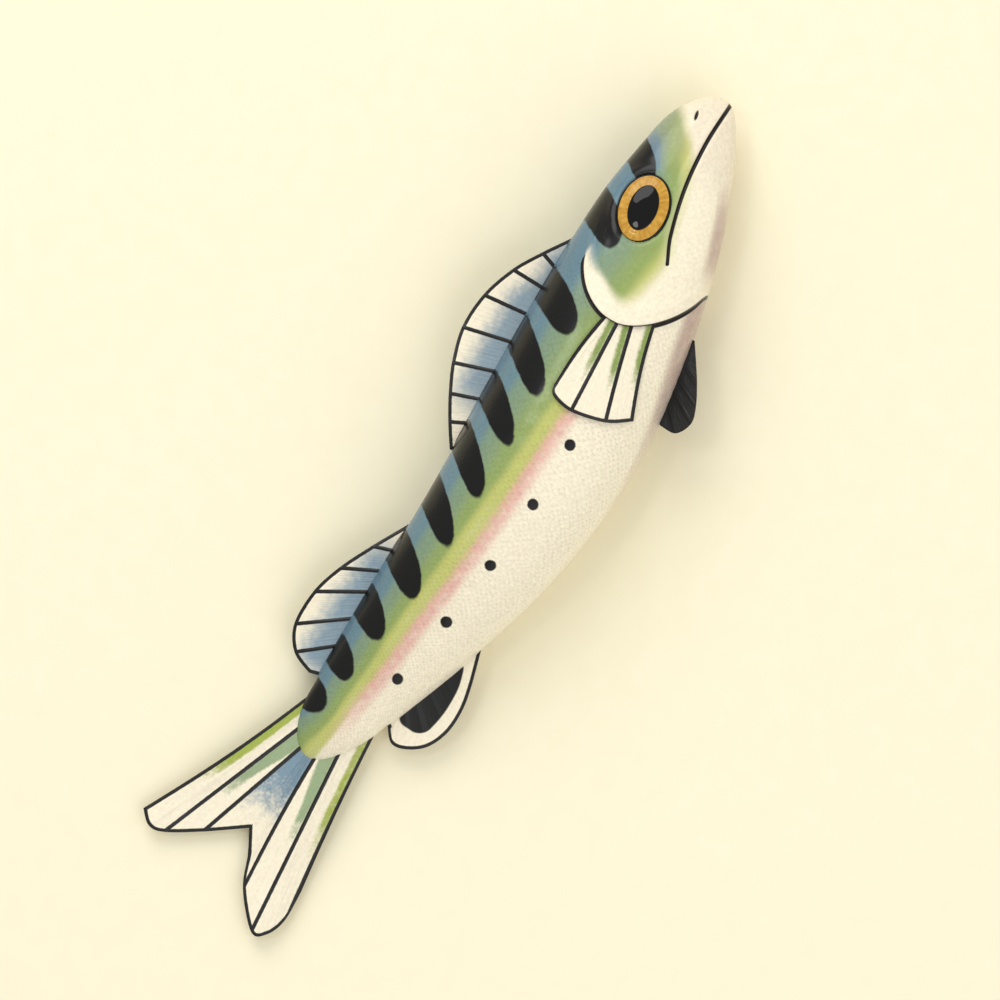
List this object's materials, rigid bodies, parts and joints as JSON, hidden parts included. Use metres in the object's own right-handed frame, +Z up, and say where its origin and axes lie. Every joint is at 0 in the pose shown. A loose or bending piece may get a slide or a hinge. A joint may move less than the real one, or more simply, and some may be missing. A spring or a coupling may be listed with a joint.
{
  "type": "whole raw fish",
  "caption": "Whole raw fish of the mackerel kind lying on its left flank, with a barred back, two raised dorsal fins, a forked tail fin and a gold-ringed eye.",
  "frame": {"origin": "middle of the rectangle of ground that the lying fish covers, on the ground", "axes": "+X towards the snout, +Y towards the back, +Z up from the ground through the right flank"},
  "size_m": [0.3004, 0.077, 0.0385],
  "materials": {
    "skin": "wet fish skin with a soft pearly sheen",
    "fin": "thin wet membrane between dark rays",
    "eye": "clear wet cornea over a gold iris and a black pupil"
  },
  "bodies": {
    "root": {"fish": "skin", "eye_right": "eye", "eye_left": "eye"}
  },
  "joints": []
}
